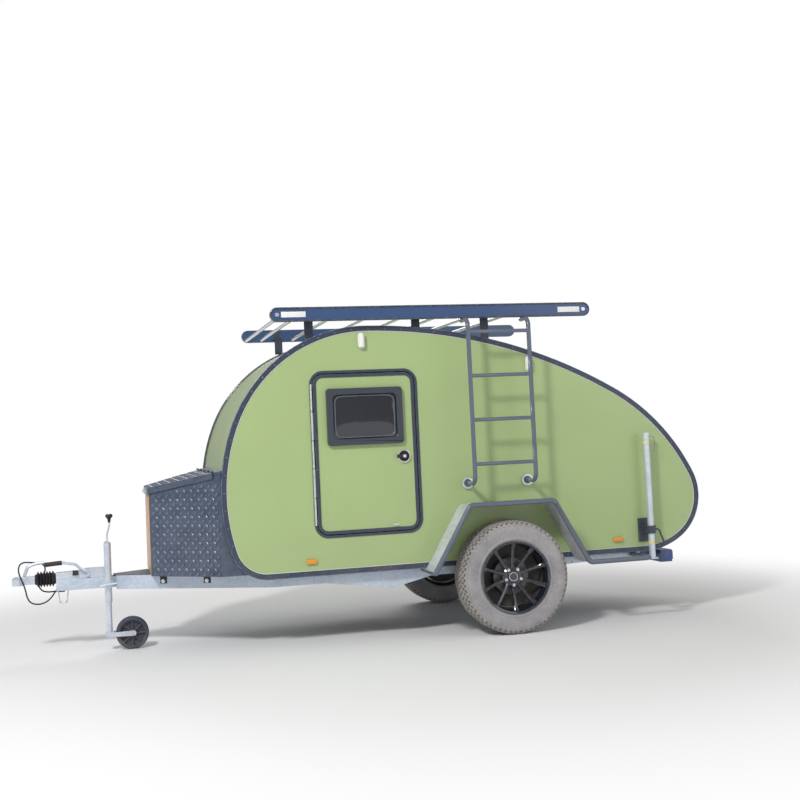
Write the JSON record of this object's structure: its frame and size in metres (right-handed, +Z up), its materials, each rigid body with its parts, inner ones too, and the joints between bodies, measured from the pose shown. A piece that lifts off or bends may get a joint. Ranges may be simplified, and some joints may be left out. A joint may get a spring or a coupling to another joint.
{
  "type": "teardrop camping trailer",
  "caption": "Teardrop camping trailer with side doors, a galley hatch, a front box, a roof rack, a ladder and a jockey wheel.",
  "frame": {"origin": "on the ground, at the middle of the footprint", "axes": "+X from the hitch to the tail, +Y to the side without the ladder, +Z up"},
  "size_m": [4.805, 1.9672, 2.254],
  "materials": {
    "body_paint": "satin",
    "trim_paint": "satin",
    "galvanised": "dull",
    "zinc": "satin",
    "box_plate": "tread plate",
    "fender_plate": "tread plate",
    "rim_paint": "gloss",
    "tyre_rubber": "worn",
    "drum_metal": "machined",
    "black_plastic": "satin",
    "black_rubber": "matt",
    "cable_jacket": "smooth",
    "window_acrylic": "gloss",
    "floor_board": "sealed",
    "plywood": "varnished",
    "rack_paint": "satin",
    "ladder_paint": "satin",
    "bar_paint": "satin",
    "white_lens": "frosted",
    "amber_lens": "clear",
    "red_lens": "clear"
  },
  "bodies": {
    "trailer": {"cabin_side_left": "body_paint", "cabin_side_right": "body_paint", "cabin_floor": "floor_board", "cabin_roof": "body_paint", "galley_bulkhead": "plywood", "galley_worktop": "plywood", "edge_trims": "trim_paint", "door_frames": "trim_paint", "hatch_hinge": "trim_paint", "front_box": "box_plate", "drawbar_head": "galvanised", "drawbar_beams": "galvanised", "chassis_rails": "galvanised", "cross_members": "galvanised", "drawbar_plates": "trim_paint", "overrun_housing": "zinc", "coupling_head": "zinc", "coupling_bellows": "black_rubber", "brake_lever": "zinc", "drawbar_cable": "cable_jacket", "cable_plug": "black_plastic", "cable_holders": "black_plastic", "jockey_clamp": "zinc", "jockey_mast": "zinc", "axle_beam": "galvanised", "fenders": "fender_plate", "fender_rails": "trim_paint", "rack_rails": "rack_paint", "rack_cross_tubes": "rack_paint", "rack_brackets": "trim_paint", "ladder": "ladder_paint", "porch_lamps": "white_lens", "marker_lamps": "amber_lens", "prop_brackets": "trim_paint", "light_bar": "bar_paint", "rear_lamps": "red_lens"},
    "door_left": {"door_left_panel": "body_paint", "door_left_window_frame": "black_plastic", "door_left_window": "window_acrylic", "door_left_handle": "black_plastic"},
    "door_right": {"door_right_panel": "body_paint", "door_right_window_frame": "black_plastic", "door_right_window": "window_acrylic", "door_right_handle": "black_plastic"},
    "hatch": {"hatch_panel": "body_paint", "hatch_leaf": "trim_paint", "hatch_handles": "black_plastic"},
    "box_lid": {"box_lid": "box_plate", "box_latch": "zinc"},
    "wheel_left": {"left_tyre": "tyre_rubber", "left_rim": "rim_paint", "left_drum": "drum_metal"},
    "wheel_right": {"right_tyre": "tyre_rubber", "right_rim": "rim_paint", "right_drum": "drum_metal"},
    "jockey_leg": {"jockey_leg": "zinc"},
    "jockey_fork": {"jockey_fork": "zinc"},
    "jockey_wheel": {"jockey_wheel": "black_rubber"},
    "prop_left": {"prop_leg_left": "zinc"},
    "prop_right": {"prop_leg_right": "zinc"}
  },
  "joints": [
    {"name": "door_left_hinge", "type": "hinge", "parent": "trailer", "child": "door_left", "pos_m": [-0.4195, -0.728, 1.268], "axis": [0, 0, -1], "range_deg": [0, 150]},
    {"name": "door_right_hinge", "type": "hinge", "parent": "trailer", "child": "door_right", "pos_m": [-0.4195, 0.728, 1.268], "axis": [0, 0, 1], "range_deg": [0, 150]},
    {"name": "hatch_hinge", "type": "hinge", "parent": "trailer", "child": "hatch", "pos_m": [1.05791, 0, 1.95673], "axis": [0, -1, 0], "range_deg": [0, 80]},
    {"name": "lid_hinge", "type": "hinge", "parent": "trailer", "child": "box_lid", "pos_m": [-1.0795, 0, 1.18902], "axis": [0, 1, 0], "range_deg": [0, 85]},
    {"name": "wheel_left_spin", "type": "hinge", "parent": "trailer", "child": "wheel_left", "pos_m": [0.8875, -0.8475, 0.381], "axis": [0, 1, 0], "continuous": true},
    {"name": "wheel_right_spin", "type": "hinge", "parent": "trailer", "child": "wheel_right", "pos_m": [0.8875, 0.8475, 0.381], "axis": [0, 1, 0], "continuous": true},
    {"name": "jockey_lift", "type": "slide", "parent": "trailer", "child": "jockey_leg", "axis": [0, 0, 1], "range_m": [0, 0.175]},
    {"name": "jockey_swivel", "type": "hinge", "parent": "jockey_leg", "child": "jockey_fork", "pos_m": [-1.7675, -0.116, 0.125], "axis": [0, 0, 1], "continuous": true},
    {"name": "jockey_spin", "type": "hinge", "parent": "jockey_fork", "child": "jockey_wheel", "pos_m": [-1.6175, -0.116, 0.11], "axis": [0, 1, 0], "continuous": true},
    {"name": "prop_left_drop", "type": "slide", "parent": "trailer", "child": "prop_left", "axis": [0, 0, -1], "range_m": [0, 0.4]},
    {"name": "prop_right_drop", "type": "slide", "parent": "trailer", "child": "prop_right", "axis": [0, 0, -1], "range_m": [0, 0.4]}
  ]
}
